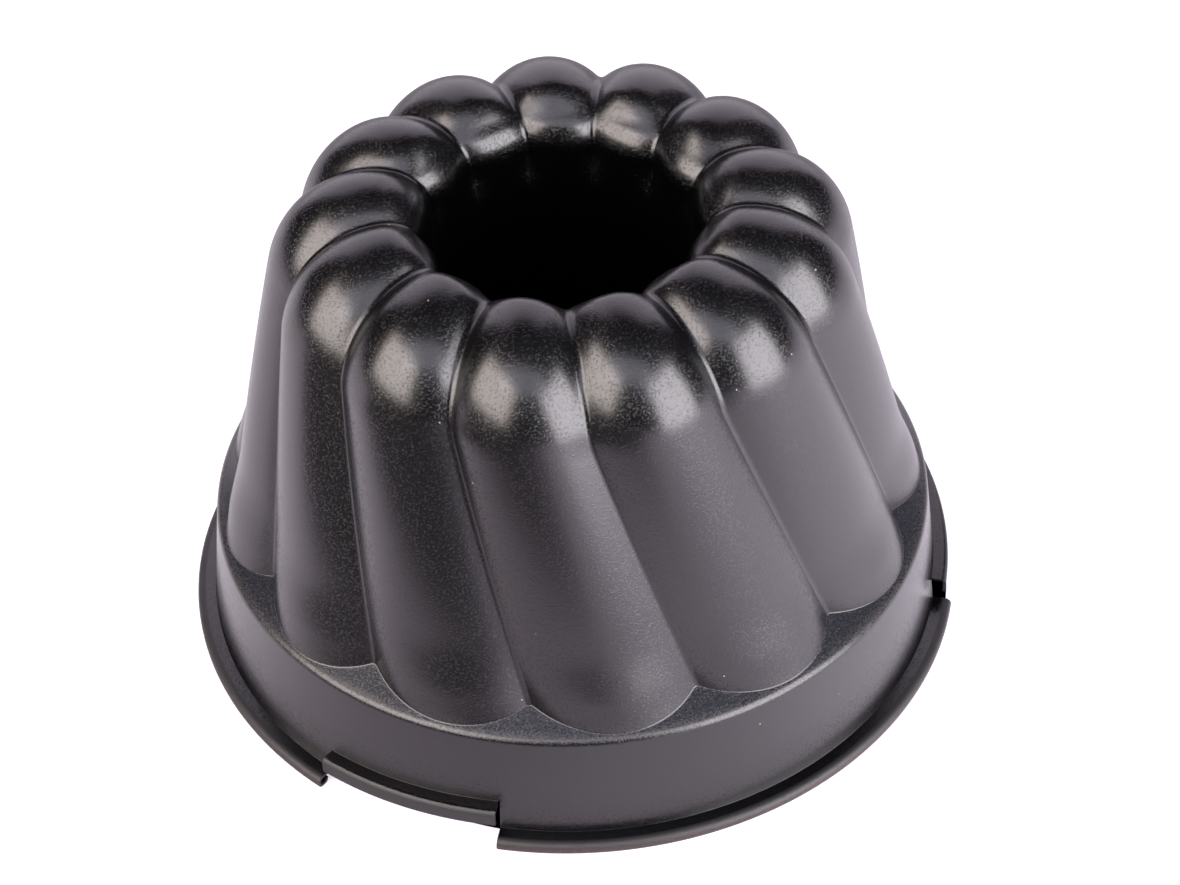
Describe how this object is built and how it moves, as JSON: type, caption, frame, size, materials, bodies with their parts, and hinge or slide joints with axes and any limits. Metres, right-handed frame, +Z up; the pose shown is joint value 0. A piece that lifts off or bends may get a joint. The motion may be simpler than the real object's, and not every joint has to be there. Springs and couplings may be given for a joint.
{
  "type": "kugelhopf mould",
  "caption": "Small round fluted cake mould of coated sheet steel with swirled flutes, a wide centre hole with a conical tube, and a stepped rolled rim it stands on",
  "frame": {"origin": "centre of the circle that the rim stands on, at the height of the table", "axes": "+Z up along the mould's axis towards its closed fluted end, -Y towards the camera of the picture, +X to the right in the picture"},
  "size_m": [0.1584, 0.16, 0.1],
  "materials": {
    "shell_coating": "satin charcoal non-stick coating on steel sheet",
    "tube_coating": "satin charcoal non-stick coating on steel sheet"
  },
  "bodies": {
    "root": {"fluted_shell": "shell_coating", "centre_tube": "tube_coating"}
  },
  "joints": []
}
